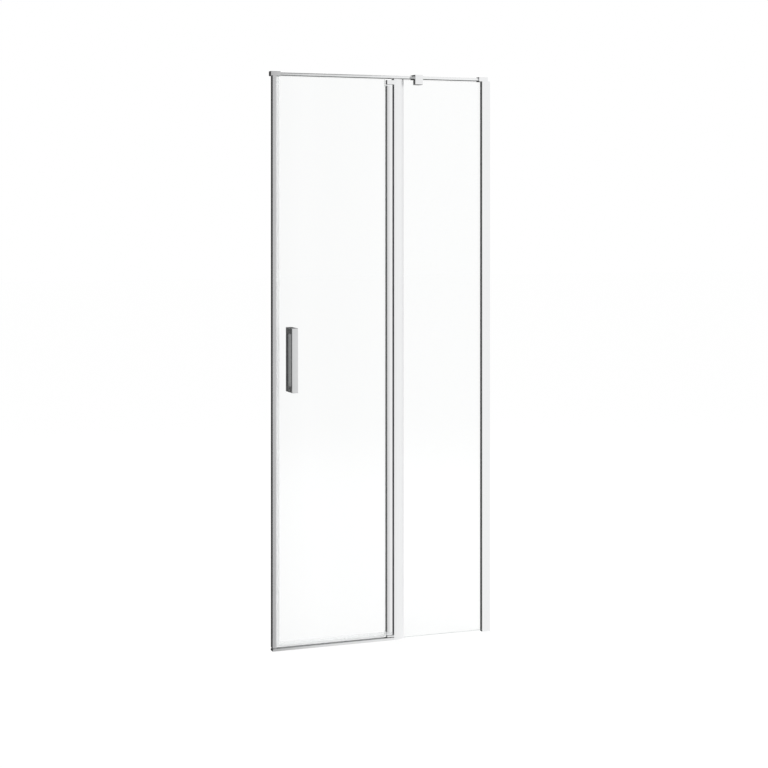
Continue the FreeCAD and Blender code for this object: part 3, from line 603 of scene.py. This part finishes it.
def copier():
    """Geometry Nodes that put a turned copy of a model at each point, each copy twisted by chance."""
    tree = bpy.data.node_groups.new("screws", "GeometryNodeTree")
    sockets = {}
    for name, kind in (("Points", "Geometry"), ("Model", "Object"), ("Turn", "Vector"), ("Twist", "Float"),
                       ("Seed", "Int"), ("Material", "Material")):
        sockets[name] = tree.interface.new_socket(name, in_out="INPUT", socket_type="NodeSocket" + kind)
    tree.interface.new_socket("Mesh", in_out="OUTPUT", socket_type="NodeSocketGeometry")
    given = add(tree, "NodeGroupInput").outputs
    model = add(tree, "GeometryNodeObjectInfo", {"Object": given["Model"]})
    aimed = add(tree, "FunctionNodeEulerToRotation", {"Euler": given["Turn"]})
    chance = add(tree, "FunctionNodeRandomValue", {"Seed": given["Seed"]}, data_type="FLOAT")
    chance.inputs[2].default_value = -1.0
    chance.inputs[3].default_value = 1.0
    twist = calculate(tree, "MULTIPLY", chance.outputs[1], given["Twist"])
    about = add(tree, "ShaderNodeCombineXYZ", {"Z": twist})
    own = add(tree, "FunctionNodeEulerToRotation", {"Euler": about.outputs[0]})
    both = add(tree, "FunctionNodeRotateRotation", {
        "Rotation": aimed.outputs[0], "Rotate By": own.outputs[0],
    }, rotation_space="LOCAL")
    copies = add(tree, "GeometryNodeInstanceOnPoints", {
        "Points": given["Points"], "Instance": model.outputs["Geometry"], "Rotation": both.outputs[0],
    })
    real = add(tree, "GeometryNodeRealizeInstances", {"Geometry": copies.outputs[0]})
    dressed = add(tree, "GeometryNodeSetMaterial", {
        "Geometry": real.outputs[0], "Material": given["Material"],
    })
    add(tree, "NodeGroupOutput", {"Mesh": dressed.outputs[0]})
    return tree, sockets


def screws(node, model, places, turn, seed):
    """Shows copies of a screw model at places in millimetres instead of a node's screws."""
    tree, sockets = COPIER
    source = bpy.data.objects.new("screw_model", model)
    points = bpy.data.meshes.new("screw_points")
    points.from_pydata([Vector(place) * MM for place in places], [], [])
    holder = bpy.data.objects.new("screw_points", points)
    for made in (source, holder):
        bpy.context.scene.collection.objects.link(made)
    modifier = holder.modifiers.new("screws", "NODES")
    modifier.node_group = tree
    values = {
        "Model": source, "Turn": turn, "Twist": SCREW_TWIST, "Seed": seed, "Material": MATERIALS["steel"],
    }
    for name, value in values.items():
        modifier[sockets[name].identifier] = value
    mesh = bpy.data.meshes.new_from_object(holder.evaluated_get(bpy.context.evaluated_depsgraph_get()))
    holder.modifiers.remove(modifier)
    bpy.data.objects.remove(holder)
    bpy.data.objects.remove(source)
    stand_in(node, mesh, "steel")


TO_BACK = (-math.pi / 2, 0.0, 0.0)
TO_RIGHT = (0.0, math.pi / 2, 0.0)


def all_screws():
    for seed, node in enumerate(("strike_screws", "wall_profile_screws")):
        low, high = corners_of(node)
        x = (low.x + high.x) / 2
        zs = (low.z + LOCK_HEAD_RADIUS, (low.z + high.z) / 2, high.z - LOCK_HEAD_RADIUS)
        face = high.y - LOCK_HEAD_HEIGHT
        screws(node, pan_screw(face - low.y), [(x, face, z) for z in zs], TO_BACK, seed)

    low, high = corners_of("rail_grub_screws")
    clamp_low, clamp_high = corners_of("rail_clamp_body")
    xs = (low.x + GRUB_RADIUS, (clamp_low.x + clamp_high.x) / 2, high.x - GRUB_RADIUS)
    z = (low.z + high.z) / 2
    screws("rail_grub_screws", grub_screw(high.y - low.y), [(x, high.y, z) for x in xs], TO_BACK, 3)

    low, high = corners_of("handle_grub_screws")
    y = (low.y + high.y) / 2
    zs = (low.z + GRUB_RADIUS, high.z - GRUB_RADIUS)
    screws("handle_grub_screws", grub_screw(high.x - low.x), [(high.x, y, z) for z in zs], TO_RIGHT, 4)

    low, high = corners_of("rail_clamp_screw")
    face = high.y - CAP_HEAD_HEIGHT
    place = ((low.x + high.x) / 2, face, (low.z + high.z) / 2)
    screws("rail_clamp_screw", cap_screw(face - low.y), [place], TO_BACK, 5)


# Studio

def half_room(tree, aside, lights):
    """Brightness by the angle to the side, from a list of degrees and brightness that runs from -90 to
    90. The end stops are looked up when they are set, because each new stop moves them."""
    share = remap(tree, aside, -math.pi / 2, math.pi / 2, 0.0, 1.0)
    ramp = add(tree, "ShaderNodeValToRGB", {"Fac": share})
    stops = ramp.color_ramp.elements
    for angle, brightness in lights:
        if abs(angle) == 90:
            stop = stops[0] if angle < 0 else stops[-1]
        else:
            stop = stops.new((angle + 90) / 180)
        stop.color = (*[brightness / ROOM_PEAK] * 3, 1.0)
    return calculate(tree, "MULTIPLY", ramp.outputs["Color"], ROOM_PEAK)


def studio_world():
    """White to the eye and through glass, an even light on everything, and for rays off metal a room
    whose brightness follows the direction that they take."""
    world = bpy.data.worlds.new("studio")
    world.use_nodes = True
    tree = world.node_tree
    tree.nodes.clear()
    seen, reflected = ray_kinds(tree)

    way = add(tree, "ShaderNodeSeparateXYZ", {
        "Vector": add(tree, "ShaderNodeTexCoord").outputs["Generated"],
    })
    x, y, z = (way.outputs[axis] for axis in "XYZ")
    aside = calculate(tree, "ARCSINE", x)
    front_half = half_room(tree, aside, FRONT_HALF)
    left_share = remap(tree, aside, *UP_FRONT_END, 1.0, 0.0)
    left_and_high = calculate(tree, "MULTIPLY", remap(tree, z, *UP_FRONT_RISE, 0.0, 1.0), left_share)
    front_half = blend(tree, left_and_high, front_half, UP_FRONT)
    rear_walls = half_room(tree, aside, REAR_HALF)
    rear_half = blend(tree, remap(tree, z, *CEILING_RISE, 0.0, 1.0, smooth=True), rear_walls, CEILING)
    walls = blend(tree, remap(tree, y, *HALVES_MEET, 0.0, 1.0), front_half, rear_half)
    straight_down = remap(tree, z, *STRAIGHT_DOWN_DROP, 0.0, 1.0, smooth=True)
    ground = blend(tree, straight_down, BELOW, STRAIGHT_DOWN)
    room = blend(tree, remap(tree, z, *BELOW_DROP, 0.0, 1.0, smooth=True), walls, ground)
    passes = add(tree, "ShaderNodeLightPath").outputs["Transmission Depth"]
    behind = calculate(tree, "GREATER_THAN", passes, PANE_PASSES)
    room = calculate(tree, "MULTIPLY", room, blend(tree, behind, 1.0, BEHIND_GLASS))

    plain = add(tree, "ShaderNodeBackground", {"Color": WHITE, "Strength": AMBIENT})
    mirror = add(tree, "ShaderNodeBackground", {"Color": WHITE, "Strength": room})
    white = add(tree, "ShaderNodeBackground", {"Color": WHITE, "Strength": 1.0})
    lit = add(tree, "ShaderNodeMixShader", {0: reflected, 1: plain.outputs[0], 2: mirror.outputs[0]})
    both = add(tree, "ShaderNodeMixShader", {0: seen, 1: lit.outputs[0], 2: white.outputs[0]})
    add(tree, "ShaderNodeOutputWorld", {"Surface": both.outputs[0]})
    bpy.context.scene.world = world


def studio_floor():
    """A pale floor that looks as white as the room and keeps a soft shadow."""
    material, tree = new_material("floor")
    seen, reflected = ray_kinds(tree)
    lit = add(tree, "ShaderNodeBsdfDiffuse", {"Color": (*[FLOOR_COLOUR] * 3, 1.0)})
    pale = add(tree, "ShaderNodeBsdfDiffuse", {"Color": (0.8, 0.8, 0.8, 1.0)})
    glow = add(tree, "ShaderNodeEmission", {"Color": WHITE, "Strength": FLOOR_GLOW})
    clear = add(tree, "ShaderNodeBsdfTransparent")
    white = add(tree, "ShaderNodeAddShader", {0: lit.outputs[0], 1: glow.outputs[0]})
    plain = add(tree, "ShaderNodeMixShader", {0: seen, 1: pale.outputs[0], 2: white.outputs[0]})
    both = add(tree, "ShaderNodeMixShader", {0: reflected, 1: plain.outputs[0], 2: clear.outputs[0]})
    finish_material(tree, both)

    half = FLOOR_SIZE / 2
    mesh = bpy.data.meshes.new("floor")
    corners = [(-half, -half, 0.0), (half, -half, 0.0), (half, half, 0.0), (-half, half, 0.0)]
    mesh.from_pydata(corners, [], [(0, 1, 2, 3)])
    mesh.materials.append(material)
    floor = bpy.data.objects.new("floor", mesh)
    bpy.context.scene.collection.objects.link(floor)
    floor.visible_glossy = False


def lamp(name, place, power):
    data = bpy.data.lights.new(name, "AREA")
    data.shape = "DISK"
    data.size = LAMP_SIZE
    data.energy = power
    made = bpy.data.objects.new(name, data)
    bpy.context.scene.collection.objects.link(made)
    made.location = place
    made.rotation_euler = (Vector(LAMP_TARGET) - Vector(place)).to_track_quat("-Z", "Y").to_euler()
    made.visible_glossy = False
    made.visible_transmission = False
    made.visible_camera = False


def camera():
    data = bpy.data.cameras.new("camera")
    data.sensor_width = SENSOR_WIDTH
    data.lens = FOCAL_PIXELS / PHOTO_SIZE * SENSOR_WIDTH
    data.shift_y = (HORIZON_PIXEL - PHOTO_SIZE / 2) / PHOTO_SIZE
    data.clip_end = 2 * FLOOR_SIZE
    made = bpy.data.objects.new("camera", data)
    made.location = CAMERA_PLACE
    made.rotation_euler = (math.pi / 2, 0.0, CAMERA_TURN)
    bpy.context.scene.collection.objects.link(made)
    bpy.context.scene.camera = made


dress_cad_nodes()
glazing_strips()
magnet_seal()
strike_magnet()
drip_seal()
gap_seal()
setting_blocks()
handle_gaskets()
clamp_pads()
COPIER = copier()
all_screws()
studio_world()
studio_floor()
for lamp_name, (lamp_place, lamp_power) in LAMPS.items():
    lamp(lamp_name, lamp_place, lamp_power)
camera()
bpy.context.scene.view_settings.view_transform = "Standard"
